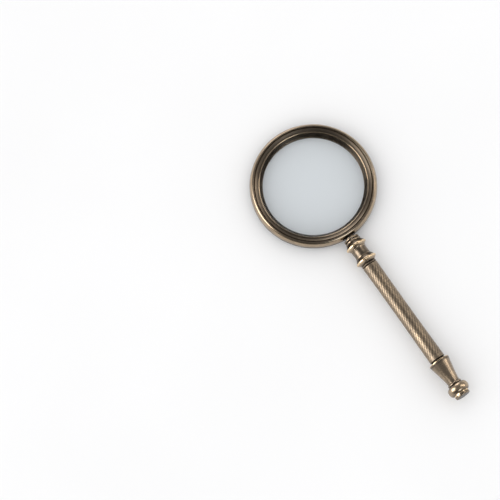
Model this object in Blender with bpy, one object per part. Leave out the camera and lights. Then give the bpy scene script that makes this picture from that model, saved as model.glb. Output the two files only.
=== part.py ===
"""Hand-held magnifying glass in turned brass: a lens clamped in a beaded rim by a threaded
retaining ring, and a handle of turned pieces strung on a tie rod that screws onto the rim's stud.

Frame: metres, +Z up along the lens's optical axis, handle towards -Y. The origin is below the
middle of the whole object, at the height of the lowest point of the widest handle piece.
Turned pieces are drawn as (radius, height) outlines in millimetres about their own axis.
"""
import math

import bmesh
import bpy

MM = 0.001
TURN = 2 * math.pi

# Clearances
GAP = 0.3                      # between pieces that touch or nest
CHAMFER = 0.3                  # broken edge on turned pieces

# Facets around a full turn
RING_SEGMENTS = 48
HANDLE_SEGMENTS = 24
ROD_SEGMENTS = 16
BEAD_STEPS = 4                 # points along each half-round bead

# Lens
LENS_RADIUS = 42.0
LENS_EDGE = 2.2                # thickness at the edge
LENS_CURVATURE = 300.0         # radius of both polished faces
LENS_DROP = 1.7                # lens middle below the rim's middle
LENS_STEPS = 6
LENS_OVERLAP = 2.3             # width of lens edge hidden by the rim and the retaining ring

# Packing rings on both sides of the lens edge
PACKING_THICKNESS = 0.5
PACKING_WIDTH = 1.4

# Rim
RIM_THICKNESS = 12.0
BEAD_WIDTH = 3.1               # radial half-axis of the rounded outer bead
BEAD_WALL = 0.6                # from the threaded bore to the crest of the bead
THREAD_WALL = 4.0              # from the lens seat's bore to the threaded bore
GROOVE_DEPTH = 0.8             # sunk line between the bead and the inner lands
LIP_EDGE = 0.65                # thickness of the rear lip at the aperture
LIP_BEVEL_WIDTH = 2.2
LIP_BEVEL_DEPTH = 1.2

# Retaining ring
RETAINER_FACE_DROP = 0.7       # its outer edge below the crest of the bead
RETAINER_DISH = 1.0            # fall of its face from the outer edge to the ridge
RETAINER_FACE_WIDTH = 2.4
RIDGE_RADIUS = 0.35
SKIRT_WIDTH = 0.4              # thin inner skirt that hides the packing ring

# Stud that carries the handle
STUD_RADIUS = 2.5
STUD_ROOT = 2.4                # how far it is let into the rim
STUD_REACH = 11.5              # how far it stands out of the rim
BOSS_RADIUS = 3.6
BOSS_HEIGHT = 1.2

# Pieces strung along the handle, from the rim to the end
STUD_WASHER_RADIUS = 6.4
STUD_WASHER_LENGTH = 1.5
CROWN_RADIUS = 6.6
CROWN_LENGTH = 2.3
UPPER_COLLAR_RADIUS = 8.7
UPPER_COLLAR_LENGTH = 5.2
UPPER_COLLAR_RISE = 2.1        # length of its slope, up to the upright edge
UPPER_COLLAR_BAND = 1.3        # length of the upright edge
NECK_RADIUS = 6.1
NECK_LENGTH = 7.3
NECK_FLARE = 0.3
LOWER_COLLAR_RADIUS = 8.7
LOWER_COLLAR_LENGTH = 5.9
LOWER_COLLAR_RISE = 2.8
LOWER_COLLAR_BAND = 1.3
TOP_RING_RADIUS = 6.2
TOP_RING_LENGTH = 2.5
GRIP_LENGTH = 90.7
GRIP_TOP_RADIUS = 6.3
GRIP_WAIST_RADIUS = 6.15
GRIP_FOOT_RADIUS = 6.5
GRIP_STEPS = 8
WAIST_RING_RADIUS = 6.0
WAIST_RING_LENGTH = 1.6
FERRULE_RADIUS = 8.65
FERRULE_FOOT_RADIUS = 4.95
FERRULE_LENGTH = 19.9
FERRULE_LIP = 1.1
FERRULE_HOLLOW = 1.2           # exponent of its hollow side; 1 would be a straight cone
FERRULE_STEPS = 7
POMMEL_BEAD_RADIUS = 5.9
POMMEL_BEAD_LENGTH = 2.1
POMMEL_RADIUS = 8.65
POMMEL_LENGTH = 7.1
POMMEL_WIDEST = 3.5            # from its start to its widest line
POMMEL_NECK_RADIUS = 6.2
POMMEL_FOOT_RADIUS = 6.3
POMMEL_STEPS = 8
END_CAP_RADIUS = 6.2
END_CAP_LENGTH = 3.1
END_CAP_CROWN = 0.9            # height of its rounded end
END_CAP_SPREAD = 1.4           # width of its rounded end

# What joins them inside
SPIGOT_WALL = 1.1              # wall of the neck's spigots round the stud's thread
SPIGOT_INTO_GRIP = 2.4
STUD_END_SPACE = 0.8           # free depth past the end of the stud
NECK_WEB = 3.7                 # solid metal between the stud's hole and the rod's hole
WAIST_SPIGOT_LENGTH = 8.0
ROD_RADIUS = 2.0
ROD_END_SPACE = 0.3
END_SLEEVE_RADIUS = 3.5        # the end cap's threaded sleeve, let into the pommel
END_SLEEVE_LENGTH = 2.4
END_WASHER_RADIUS = 3.6
END_WASHER_LENGTH = 0.7
END_CAP_WALL = 0.8             # metal left over the rod's blind hole

# Rim and lens, worked out from the sizes above
APERTURE_RADIUS = LENS_RADIUS - LENS_OVERLAP
SEAT_BORE = LENS_RADIUS + GAP
THREAD_BORE = SEAT_BORE + THREAD_WALL
BEAD_CENTRE = THREAD_BORE + BEAD_WALL
RIM_RADIUS = BEAD_CENTRE + BEAD_WIDTH
RIM_HALF = RIM_THICKNESS / 2
PACKING_OUTER = LENS_RADIUS - 0.1
PACKING_INNER = APERTURE_RADIUS + SKIRT_WIDTH + GAP

# Radii of bores, worked out from what passes through them
STUD_BORE = STUD_RADIUS + GAP
ROD_BORE = ROD_RADIUS + GAP
SPIGOT_RADIUS = STUD_BORE + SPIGOT_WALL
SPIGOT_BORE = SPIGOT_RADIUS + GAP
END_RECESS_RADIUS = max(END_WASHER_RADIUS, END_SLEEVE_RADIUS) + GAP

# Distances along the handle from the middle of the lens
STUD_START = RIM_RADIUS - STUD_ROOT
STUD_END = RIM_RADIUS + STUD_REACH
BOSS_END = RIM_RADIUS + BOSS_HEIGHT
STUD_WASHER_START = BOSS_END + GAP
CROWN_START = STUD_WASHER_START + STUD_WASHER_LENGTH + GAP
UPPER_COLLAR_START = CROWN_START + CROWN_LENGTH + GAP
NECK_START = UPPER_COLLAR_START + UPPER_COLLAR_LENGTH + GAP
LOWER_COLLAR_START = NECK_START + NECK_LENGTH + GAP
TOP_RING_START = LOWER_COLLAR_START + LOWER_COLLAR_LENGTH + GAP
GRIP_START = TOP_RING_START + TOP_RING_LENGTH + GAP
WAIST_RING_START = GRIP_START + GRIP_LENGTH + GAP
FERRULE_START = WAIST_RING_START + WAIST_RING_LENGTH + GAP
POMMEL_BEAD_START = FERRULE_START + FERRULE_LENGTH + GAP
POMMEL_START = POMMEL_BEAD_START + POMMEL_BEAD_LENGTH + GAP
END_CAP_START = POMMEL_START + POMMEL_LENGTH + GAP
END_CAP_END = END_CAP_START + END_CAP_LENGTH
END_WASHER_START = END_CAP_START - END_SLEEVE_LENGTH - GAP - END_WASHER_LENGTH
END_RECESS_START = END_WASHER_START - GAP
ROD_END = END_CAP_END - END_CAP_WALL - ROD_END_SPACE

AXIS_HEIGHT = max(
    RIM_HALF, UPPER_COLLAR_RADIUS, LOWER_COLLAR_RADIUS, GRIP_FOOT_RADIUS, FERRULE_RADIUS, POMMEL_RADIUS
)
LENS_CENTRE_Y = (END_CAP_END - RIM_RADIUS) / 2


def lens_bulge(radius):
    """Height of a polished lens face above its own edge, at this radius."""
    return (LENS_RADIUS**2 - radius**2) / (2 * LENS_CURVATURE)


def lens_front(radius):
    return -LENS_DROP + LENS_EDGE / 2 + lens_bulge(radius)


def lens_back(radius):
    return -LENS_DROP - LENS_EDGE / 2 - lens_bulge(radius)


def oval(centre_r, centre_h, half_r, half_h, start, end, steps):
    """Points along an ellipse between two angles in degrees, 0 outwards and 90 upwards."""
    angles = [math.radians(start + (end - start) * i / steps) for i in range(steps + 1)]
    return [(centre_r + half_r * math.cos(a), centre_h + half_h * math.sin(a)) for a in angles]


def curve(length, steps, radius_at):
    """Points of a side whose radius is a function of the share of its length."""
    return [(radius_at(i / steps), length * i / steps) for i in range(steps + 1)]


def metal(name, colour, roughness, metallic=1.0):
    material = bpy.data.materials.new(name)
    material.use_nodes = True
    shader = material.node_tree.nodes["Principled BSDF"]
    shader.inputs["Base Color"].default_value = (*colour, 1.0)
    shader.inputs["Roughness"].default_value = roughness
    shader.inputs["Metallic"].default_value = metallic
    return material


def glass(name, colour):
    material = metal(name, colour, 0.03, metallic=0.0)
    shader = material.node_tree.nodes["Principled BSDF"]
    shader.inputs["Transmission Weight"].default_value = 1.0
    shader.inputs["IOR"].default_value = 1.52
    return material


def frame_empty(name, location, rotation=(0.0, 0.0, 0.0)):
    empty = bpy.data.objects.new(name, None)
    bpy.context.collection.objects.link(empty)
    empty.location = location
    empty.rotation_euler = rotation
    return empty


def turned(name, outline, segments, material, parent, at=0.0):
    """A piece turned about its local Z. An outline that begins and ends on the axis is solid there;
    any other outline closes on itself and leaves a hole."""
    bm = bmesh.new()
    points = [bm.verts.new((r * MM, 0.0, h * MM)) for r, h in outline]
    solid_on_axis = outline[0][0] == 0 and outline[-1][0] == 0
    following = points[1:] if solid_on_axis else points[1:] + points[:1]
    lines = [bm.edges.new(pair) for pair in zip(points, following)]
    bmesh.ops.spin(
        bm, geom=points + lines, axis=(0, 0, 1), cent=(0, 0, 0), dvec=(0, 0, 0),
        angle=TURN, steps=segments, use_merge=True, use_duplicate=False,
    )
    bmesh.ops.remove_doubles(bm, verts=bm.verts, dist=0.000001)
    bmesh.ops.recalc_face_normals(bm, faces=bm.faces)
    mesh = bpy.data.meshes.new(name)
    bm.to_mesh(mesh)
    bm.free()
    mesh.shade_smooth()
    mesh.set_sharp_from_angle(angle=math.radians(30))
    mesh.materials.append(material)
    piece = bpy.data.objects.new(name, mesh)
    bpy.context.collection.objects.link(piece)
    piece.parent = parent
    piece.location = (0.0, 0.0, at * MM)
    return piece


def cut(piece, cutter):
    """Take the cutter's volume away from the piece."""
    cutter.hide_render = True
    cutter.display_type = "WIRE"
    modifier = piece.modifiers.new("cut_" + cutter.name, "BOOLEAN")
    modifier.operation = "DIFFERENCE"
    modifier.solver = "EXACT"
    modifier.object = cutter


def lens_outline():
    """Biconvex: two shallow polished faces and a ground cylindrical edge."""
    radii = [(LENS_RADIUS - CHAMFER) * i / LENS_STEPS for i in range(LENS_STEPS + 1)]
    front = [(r, lens_front(r)) for r in radii]
    back = [(r, lens_back(r)) for r in reversed(radii)]
    edge = [
        (LENS_RADIUS, lens_front(LENS_RADIUS) - CHAMFER),
        (LENS_RADIUS, lens_back(LENS_RADIUS) + CHAMFER),
    ]
    return front + edge + back


def packing_outline(bottom):
    top = bottom + PACKING_THICKNESS
    return [(PACKING_INNER, bottom), (PACKING_OUTER, bottom), (PACKING_OUTER, top), (PACKING_INNER, top)]


def front_packing_bottom():
    return lens_front(PACKING_INNER) + GAP


def rear_packing_bottom():
    return lens_back(PACKING_INNER) - GAP - PACKING_THICKNESS


def retainer_bottom():
    return front_packing_bottom() + PACKING_THICKNESS + GAP


def rim_bead(offset, start, end, steps):
    """The rounded outer side of the rim, or a surface a little outside it."""
    return oval(BEAD_CENTRE, 0.0, BEAD_WIDTH + offset, RIM_HALF + offset, start, end, steps)


def rim_outline():
    """Outer bead, rear land with its sunk line, rear lip, lens seat and threaded bore."""
    seat = rear_packing_bottom() - GAP
    shoulder = retainer_bottom() - GAP
    return rim_bead(0.0, 90, -90, 2 * BEAD_STEPS) + [
        (THREAD_BORE, GROOVE_DEPTH - RIM_HALF),
        (THREAD_BORE - BEAD_WALL, -RIM_HALF),
        (APERTURE_RADIUS + LIP_BEVEL_WIDTH, -RIM_HALF),
        (APERTURE_RADIUS, LIP_BEVEL_DEPTH - RIM_HALF),
        (APERTURE_RADIUS, seat),
        (SEAT_BORE, seat),
        (SEAT_BORE, shoulder),
        (THREAD_BORE, shoulder),
        (THREAD_BORE, RIM_HALF - GROOVE_DEPTH),
    ]


def retainer_outline():
    """Threaded outside, dished face, small ridge, bevel down to the lens and a thin inner skirt."""
    outer = THREAD_BORE - GAP
    bottom = retainer_bottom()
    top = RIM_HALF - RETAINER_FACE_DROP
    ridge_r = outer - CHAMFER - RETAINER_FACE_WIDTH - RIDGE_RADIUS
    ridge_h = top - RETAINER_DISH
    skirt = lens_front(APERTURE_RADIUS) + GAP
    return [
        (outer, bottom),
        (outer, top - CHAMFER),
        (outer - CHAMFER, top),
        *oval(ridge_r, ridge_h, RIDGE_RADIUS, RIDGE_RADIUS, 0, 180, 4),
        (APERTURE_RADIUS, skirt),
        (APERTURE_RADIUS + SKIRT_WIDTH, skirt),
        (APERTURE_RADIUS + SKIRT_WIDTH, bottom),
    ]


def bead_outline(radius, bore, length):
    """A washer or short ring with a half-round edge."""
    half = length / 2
    return [(bore, 0.0), *oval(radius - half, half, half, half, -90, 90, BEAD_STEPS), (bore, length)]


def collar_outline(front_radius, radius, back_radius, rise, band, length):
    """A flange: a slope up to an upright edge with broken corners, and a steep slope behind it."""
    return [
        (SPIGOT_BORE, 0.0),
        (front_radius, 0.0),
        (radius - CHAMFER, rise),
        (radius, rise + CHAMFER),
        (radius, rise + band - CHAMFER),
        (radius - CHAMFER, rise + band),
        (back_radius, length),
        (SPIGOT_BORE, length),
    ]


def neck_outline():
    """Waisted barrel with a spigot at each end and a blind tapped hole in each spigot.

    Heights are distances from the middle of the lens."""
    barrel = [
        (r, NECK_START + h)
        for r, h in curve(NECK_LENGTH, 6, lambda t: NECK_RADIUS + NECK_FLARE * abs(2 * t - 1) ** 3)
    ]
    spigot_top = CROWN_START + GAP
    spigot_foot = GRIP_START + SPIGOT_INTO_GRIP
    stud_hole_end = STUD_END + STUD_END_SPACE
    return [
        (0.0, stud_hole_end),
        (STUD_BORE, stud_hole_end),
        (STUD_BORE, spigot_top),
        (SPIGOT_RADIUS, spigot_top),
        (SPIGOT_RADIUS, NECK_START),
        *barrel,
        (SPIGOT_RADIUS, NECK_START + NECK_LENGTH),
        (SPIGOT_RADIUS, spigot_foot),
        (ROD_BORE, spigot_foot),
        (ROD_BORE, stud_hole_end + NECK_WEB),
        (0.0, stud_hole_end + NECK_WEB),
    ]


def grip_radius(t):
    """Slightly waisted: a parabola through the radii at the top, the waist and the foot."""
    straight = GRIP_TOP_RADIUS + (GRIP_FOOT_RADIUS - GRIP_TOP_RADIUS) * t
    middle = (GRIP_TOP_RADIUS + GRIP_FOOT_RADIUS) / 2
    return straight - (middle - GRIP_WAIST_RADIUS) * 4 * t * (1 - t)


def grip_outline():
    return [(SPIGOT_BORE, 0.0), *curve(GRIP_LENGTH, GRIP_STEPS, grip_radius), (SPIGOT_BORE, GRIP_LENGTH)]


def waist_ring_outline():
    """A short sunk ring, with a spigot that reaches back up into the grip tube."""
    return [
        (ROD_BORE, -WAIST_SPIGOT_LENGTH),
        (SPIGOT_RADIUS, -WAIST_SPIGOT_LENGTH),
        (SPIGOT_RADIUS, 0.0),
        (WAIST_RING_RADIUS, 0.0),
        (WAIST_RING_RADIUS, WAIST_RING_LENGTH),
        (ROD_BORE, WAIST_RING_LENGTH),
    ]


def ferrule_outline():
    """Trumpet: a short upright lip, then a hollow curve down to the narrow foot."""
    def side(t):
        return FERRULE_FOOT_RADIUS + (FERRULE_RADIUS - FERRULE_FOOT_RADIUS) * (1 - t) ** FERRULE_HOLLOW

    trumpet = curve(FERRULE_LENGTH - FERRULE_LIP, FERRULE_STEPS, side)
    return [
        (ROD_BORE, 0.0),
        (FERRULE_RADIUS - CHAMFER, 0.0),
        (FERRULE_RADIUS, CHAMFER),
        *[(r, h + FERRULE_LIP) for r, h in trumpet],
        (ROD_BORE, FERRULE_LENGTH),
    ]


def pommel_outline():
    """A mushroom: it rounds out from the neck to the widest line and in again, with a recess."""
    swell = oval(
        POMMEL_NECK_RADIUS, POMMEL_WIDEST, POMMEL_RADIUS - POMMEL_NECK_RADIUS, POMMEL_WIDEST,
        -90, 0, POMMEL_STEPS // 2,
    )
    shoulder = oval(
        POMMEL_FOOT_RADIUS, POMMEL_WIDEST, POMMEL_RADIUS - POMMEL_FOOT_RADIUS,
        POMMEL_LENGTH - POMMEL_WIDEST, 0, 90, POMMEL_STEPS // 2,
    )
    recess = END_RECESS_START - POMMEL_START
    return [
        (ROD_BORE, 0.0),
        *swell,
        *shoulder[1:],
        (END_RECESS_RADIUS, POMMEL_LENGTH),
        (END_RECESS_RADIUS, recess),
        (ROD_BORE, recess),
    ]


def end_cap_outline():
    """A button nut with a rounded end, a sleeve let into the pommel and a blind tapped hole."""
    hole = END_CAP_LENGTH - END_CAP_WALL
    wall_top = END_CAP_LENGTH - END_CAP_CROWN
    flat = END_CAP_RADIUS - END_CAP_SPREAD
    return [
        (0.0, hole),
        (ROD_BORE, hole),
        (ROD_BORE, -END_SLEEVE_LENGTH),
        (END_SLEEVE_RADIUS, -END_SLEEVE_LENGTH),
        (END_SLEEVE_RADIUS, 0.0),
        (END_CAP_RADIUS - CHAMFER, 0.0),
        (END_CAP_RADIUS, CHAMFER),
        *oval(flat, wall_top, END_CAP_SPREAD, END_CAP_CROWN, 0, 90, 5),
        (0.0, END_CAP_LENGTH),
    ]


def rod_outline(radius, length):
    return [
        (0.0, 0.0),
        (radius - CHAMFER, 0.0),
        (radius, CHAMFER),
        (radius, length - CHAMFER),
        (radius - CHAMFER, length),
        (0.0, length),
    ]


def build_head(lens_axis, handle_axis, brass, lens_glass, packing):
    """The lens, its packing rings, the rim, the retaining ring and the stud for the handle."""
    turned("lens", lens_outline(), RING_SEGMENTS, lens_glass, lens_axis)
    turned("rear_packing_ring", packing_outline(rear_packing_bottom()), RING_SEGMENTS, packing, lens_axis)
    turned("front_packing_ring", packing_outline(front_packing_bottom()), RING_SEGMENTS, packing, lens_axis)
    turned("retaining_ring", retainer_outline(), RING_SEGMENTS, brass, lens_axis)
    rim = turned("lens_rim", rim_outline(), RING_SEGMENTS, brass, lens_axis)

    hole_start = STUD_START - GAP
    hole_length = RIM_RADIUS + BOSS_HEIGHT - hole_start
    stud_hole = turned(
        "stud_hole", [(0.0, 0.0), (STUD_BORE, 0.0), (STUD_BORE, hole_length), (0.0, hole_length)],
        ROD_SEGMENTS, brass, handle_axis, at=hole_start,
    )
    cut(rim, stud_hole)

    stud_length = STUD_END - STUD_START
    turned("rim_stud", rod_outline(STUD_RADIUS, stud_length), ROD_SEGMENTS, brass, handle_axis, at=STUD_START)
    boss_length = BOSS_END - STUD_START
    boss = turned(
        "stud_boss",
        [(STUD_BORE, 0.0), (BOSS_RADIUS, 0.0), (BOSS_RADIUS, boss_length - CHAMFER),
         (BOSS_RADIUS - CHAMFER, boss_length), (STUD_BORE, boss_length)],
        ROD_SEGMENTS, brass, handle_axis, at=STUD_START,
    )
    saddle = turned(
        "boss_saddle",
        [(0.0, -RIM_HALF), *rim_bead(GAP, -90, 90, 6 * BEAD_STEPS), (0.0, RIM_HALF)],
        4 * RING_SEGMENTS, brass, lens_axis,
    )
    cut(boss, saddle)


def build_handle(handle_axis, brass, steel):
    """The turned pieces from the stud washer to the end cap, and the rod that ties them together."""
    def strung(name, outline, at, material=brass, segments=HANDLE_SEGMENTS):
        return turned(name, outline, segments, material, handle_axis, at=at)

    strung("stud_washer", bead_outline(STUD_WASHER_RADIUS, STUD_BORE, STUD_WASHER_LENGTH), STUD_WASHER_START)
    strung("handle_crown", bead_outline(CROWN_RADIUS, SPIGOT_BORE, CROWN_LENGTH), CROWN_START)
    neck_end = NECK_RADIUS + NECK_FLARE
    upper = collar_outline(
        CROWN_RADIUS, UPPER_COLLAR_RADIUS, neck_end, UPPER_COLLAR_RISE, UPPER_COLLAR_BAND, UPPER_COLLAR_LENGTH
    )
    strung("upper_collar", upper, UPPER_COLLAR_START)
    strung("neck_barrel", neck_outline(), 0.0)
    lower = collar_outline(
        neck_end, LOWER_COLLAR_RADIUS, TOP_RING_RADIUS,
        LOWER_COLLAR_RISE, LOWER_COLLAR_BAND, LOWER_COLLAR_LENGTH,
    )
    strung("lower_collar", lower, LOWER_COLLAR_START)
    strung("grip_top_ring", bead_outline(TOP_RING_RADIUS, SPIGOT_BORE, TOP_RING_LENGTH), TOP_RING_START)
    strung("grip_tube", grip_outline(), GRIP_START)
    strung("waist_ring", waist_ring_outline(), WAIST_RING_START)
    strung("ferrule", ferrule_outline(), FERRULE_START)
    strung("pommel_bead", bead_outline(POMMEL_BEAD_RADIUS, ROD_BORE, POMMEL_BEAD_LENGTH), POMMEL_BEAD_START)
    strung("pommel", pommel_outline(), POMMEL_START)
    strung("end_cap", end_cap_outline(), END_CAP_START)

    washer = [
        (ROD_BORE, 0.0), (END_WASHER_RADIUS, 0.0),
        (END_WASHER_RADIUS, END_WASHER_LENGTH), (ROD_BORE, END_WASHER_LENGTH),
    ]
    strung("end_washer", washer, END_WASHER_START, steel)
    rod_start = STUD_END + STUD_END_SPACE + NECK_WEB + GAP
    strung("tie_rod", rod_outline(ROD_RADIUS, ROD_END - rod_start), rod_start, steel, ROD_SEGMENTS)


def main():
    for leftover in list(bpy.data.objects):
        bpy.data.objects.remove(leftover, do_unlink=True)

    brass = metal("antique_brass", (0.33, 0.24, 0.15), 0.35)
    steel = metal("rod_steel", (0.45, 0.44, 0.42), 0.4)
    packing = metal("packing", (0.05, 0.045, 0.04), 0.8, metallic=0.0)
    lens_glass = glass("lens_glass", (0.93, 0.96, 0.97))

    centre = (0.0, LENS_CENTRE_Y * MM, AXIS_HEIGHT * MM)
    lens_axis = frame_empty("lens_axis", centre)
    handle_axis = frame_empty("handle_axis", centre, rotation=(math.pi / 2, 0.0, 0.0))
    build_head(lens_axis, handle_axis, brass, lens_glass, packing)
    build_handle(handle_axis, brass, steel)
    bpy.context.view_layer.update()


main()
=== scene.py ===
"""Finish of a hand-held magnifying glass in antiqued turned brass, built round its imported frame.

Two axes serve every piece: the lens axis, straight up through the middle of the lens, and the
handle axis, which runs from the middle of the lens towards -Y. Outlines are arrays of
(radius, height) in millimetres about one of these axes, with the material on their left-hand
side; heights on the handle axis are distances from the lens axis. Finished meshes are in metres.
"""
import math

import bpy
import numpy as np
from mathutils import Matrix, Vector


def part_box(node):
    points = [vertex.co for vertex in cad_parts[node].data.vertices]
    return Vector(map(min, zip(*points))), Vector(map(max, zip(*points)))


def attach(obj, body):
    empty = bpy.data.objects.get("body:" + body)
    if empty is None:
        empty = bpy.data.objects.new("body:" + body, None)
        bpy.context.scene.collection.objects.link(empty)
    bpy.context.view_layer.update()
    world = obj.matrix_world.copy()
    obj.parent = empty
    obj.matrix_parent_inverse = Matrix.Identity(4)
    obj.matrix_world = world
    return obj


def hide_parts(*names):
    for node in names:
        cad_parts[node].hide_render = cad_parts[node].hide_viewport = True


MM = 0.001
TURN = 2 * math.pi

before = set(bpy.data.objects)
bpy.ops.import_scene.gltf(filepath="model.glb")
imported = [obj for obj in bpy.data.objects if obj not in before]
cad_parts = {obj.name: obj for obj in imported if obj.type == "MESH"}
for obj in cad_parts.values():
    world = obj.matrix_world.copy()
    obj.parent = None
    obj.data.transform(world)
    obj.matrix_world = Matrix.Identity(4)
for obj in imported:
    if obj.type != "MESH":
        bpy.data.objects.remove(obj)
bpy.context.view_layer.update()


# ---------------------------------------------------------------- places and sizes from the frame

def across(node):
    """Outer radius of a turned node."""
    low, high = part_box(node)
    return (high.x - low.x) / 2 / MM


lens_low, lens_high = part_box("lens")
rim_low, rim_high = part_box("lens_rim")
CENTRE = np.array([0.0, (lens_low.y + lens_high.y) / 2, (rim_low.z + rim_high.z) / 2])


def along(node):
    """Start and end of a node along the handle axis."""
    low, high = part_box(node)
    return (CENTRE[1] - high.y) / MM, (CENTRE[1] - low.y) / MM


def snug(node):
    """Start and end of a strung piece, drawn out into the gaps so that its joints look closed."""
    start, end = along(node)
    return start - SNUG, end + SNUG


def above(node):
    """Bottom and top of a node on the lens axis."""
    low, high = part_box(node)
    return (low.z - CENTRE[2]) / MM, (high.z - CENTRE[2]) / MM


GAP = along("handle_crown")[0] - along("stud_washer")[1]
SNUG = 0.12                    # how far a strung piece reaches into the gaps beside it

# Rounding of turned corners
EASE = 0.12
EASE_STEPS = 4
SHARP_CORNER = math.radians(25.0)

# Wear: how far along an outline an edge is rubbed and a hollow stays dark, the turning angle in
# radians at which either is complete, and the dirt beside a joint
EDGE_REACH = 0.45
HOLLOW_REACH = 0.8
FULL_TURNING = 1.2
JOINT_GRIME = 0.8
JOINT_GRIME_REACH = 0.5

# Lens and what clamps it
LENS_RADIUS = across("lens")
LENS_CURVATURE = 300.0         # radius of both polished faces
LENS_BACK, LENS_FRONT = above("lens")
LENS_BEVEL = 0.3
APERTURE_RADIUS = LENS_RADIUS - 2.3    # so much of the lens is clamped and hidden
SKIRT_WIDTH = 0.4              # thin inner skirt of the retaining ring
PACKING_INNER = APERTURE_RADIUS + SKIRT_WIDTH + GAP
SHOULDER = above("front_packing_ring")[1]
RETAINER_BOTTOM = SHOULDER + GAP
RETAINER_TOP = above("retaining_ring")[1]
RETAINER_RADIUS = across("retaining_ring")

# Rim
RIM_RADIUS = across("lens_rim")
RIM_BOTTOM, RIM_TOP = above("lens_rim")
BEAD_WIDTH = 3.1               # radial half-axis of the rounded outer bead
BEAD_CENTRE = RIM_RADIUS - BEAD_WIDTH
THREAD_BORE = RETAINER_RADIUS + GAP
SEAT_BORE = LENS_RADIUS + GAP
GROOVE_DEPTH = 0.8             # sunk line between the bead and the inner lands
LIP_BEVEL_WIDTH = 2.2
LIP_BEVEL_DEPTH = 1.2
RIM_PAINTED_SHADE_TOP = 1.6            # painted shade darkens the lower side of the bead from this height down

# Retaining ring
RETAINER_CHAMFER = 0.3
RETAINER_FACE_WIDTH = 2.4
RETAINER_DISH = 1.0
FACE_LINES = (0.36, 0.70)      # shares of the face at which its two turned lines lie
FACE_LINE_WIDTH = 0.05
FACE_LINE_DEPTH = 0.07
RIDGE_RADIUS = 0.5
BEVEL_PAINTED_SHADE_RADIUS = 42.4      # painted shade darkens the bevel inside this radius, beside the lens

# Screw threads
RETAINER_PITCH = 0.75
STUD_PITCH = 0.8
ROD_PITCH = 0.7
RETAINER_THREAD_DEPTH = 0.4
STUD_THREAD_DEPTH = 0.45
ROD_THREAD_DEPTH = 0.4
ROD_THREAD_LENGTH = 14.0
TAPPED_DEPTH = 0.2             # a tapped hole's thread keeps clear of its screw
ON_THREAD = 0.01               # a point this near the nominal radius is on the thread

# Bores of the handle
STUD_RADIUS = across("rim_stud")
ROD_RADIUS = across("tie_rod")
STUD_BORE = STUD_RADIUS + GAP
ROD_BORE = ROD_RADIUS + GAP
SPIGOT_RADIUS = STUD_BORE + 1.1        # the neck's wall round the stud
SPIGOT_BORE = SPIGOT_RADIUS + GAP
STUD_HOLE_END = along("rim_stud")[1] + 0.8    # its hole runs on past the stud's tip
CAP_HOLE_END = along("end_cap")[1] - 0.8      # the end cap's wall over the tie rod
CAP_PAINTED_SHADE_DEPTH = 1.7          # painted shade covers so much of the end cap's rounded end

# Collars: lengths of the slope up to the upright edge and of the edge itself
UPPER_RISE = 2.1
LOWER_RISE = 2.8
COLLAR_BAND = 1.3

# Reeding of the ring under the lower collar
REED_COUNT = 48
REED_DEPTH = 0.18

# Knurl
KNURL_STARTS = 16
KNURL_PITCH = 3.85             # along the handle, between two neighbouring grooves of one hand
KNURL_DEPTH = 0.08
CROSS_KNURL_DEPTH = 0.02       # the second pass of the knurling wheel bites less
KNURL_PLAIN_TOP = 0.8
KNURL_PLAIN_FOOT = 2.4
KNURL_FADE = 0.8
KNURL_DIRT = 0.45              # how sunk the grooves look and how rubbed the crests
KNURL_SHINE = 0.25


# ------------------------------------------------------------------------------ outlines

def arc(centre_r, centre_h, half_r, half_h, start, end, steps):
    """Ellipse: centre + (half_r cos a, half_h sin a) for angles from start to end, in degrees."""
    angle = np.radians(np.linspace(start, end, steps + 1))
    return np.column_stack((centre_r + half_r * np.cos(angle), centre_h + half_h * np.sin(angle)))


def side(start, end, radius_at, steps):
    """A turned side: the radius is a function of the share of the way from start to end."""
    share = np.linspace(0.0, 1.0, steps + 1)
    return np.column_stack((radius_at(share), start + (end - start) * share))


def outline(*stretches):
    """Single points and stretches of points joined into one array."""
    return np.vstack([np.atleast_2d(np.asarray(stretch, float)) for stretch in stretches])


def eased(points, ease=EASE):
    """Rounds each corner that turns by more than SHARP_CORNER: a quadratic curve leaves the
    corner's two sides `ease` away from it, or at 0.45 of a shorter side. Points on the axis stay."""
    to_before = np.roll(points, 1, axis=0) - points
    to_after = np.roll(points, -1, axis=0) - points
    before = np.linalg.norm(to_before, axis=1, keepdims=True)
    after = np.linalg.norm(to_after, axis=1, keepdims=True)
    cosine = -np.sum(to_before * to_after, axis=1) / (before * after)[:, 0]
    corner = (cosine < math.cos(SHARP_CORNER)) & (points[:, 0] > 0)
    first = points + to_before / before * np.minimum(ease, 0.45 * before)
    last = points + to_after / after * np.minimum(ease, 0.45 * after)
    t = np.linspace(0.0, 1.0, EASE_STEPS + 1)[None, :, None]
    curve = (1 - t) ** 2 * first[:, None] + 2 * t * (1 - t) * points[:, None] + t**2 * last[:, None]
    curve = np.where(corner[:, None, None], curve, points[:, None])
    wanted = corner[:, None] | (np.arange(EASE_STEPS + 1)[None, :] == 0)
    return curve[wanted]


def spaced(points, step, fine_radius=None, fine_step=0.1):
    """Divides every straight stretch evenly into lengths of at most `step`, and of `fine_step`
    where both its ends lie at fine_radius, as on a thread."""
    following = np.roll(points, -1, axis=0)
    length = np.linalg.norm(following - points, axis=1)
    limit = np.full(len(points), step)
    if fine_radius is not None:
        off = np.maximum(abs(points[:, 0] - fine_radius), abs(following[:, 0] - fine_radius))
        limit[off < ON_THREAD] = fine_step
    count = np.maximum(np.ceil(length / limit).astype(int), 1)
    if points[0, 0] == 0 and points[-1, 0] == 0:
        count[-1] = 1
    index = np.repeat(np.arange(len(points)), count)
    part = np.arange(count.sum()) - np.repeat(np.cumsum(count) - count, count)
    share = (part / count[index])[:, None]
    return points[index] + (following[index] - points[index]) * share


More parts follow.
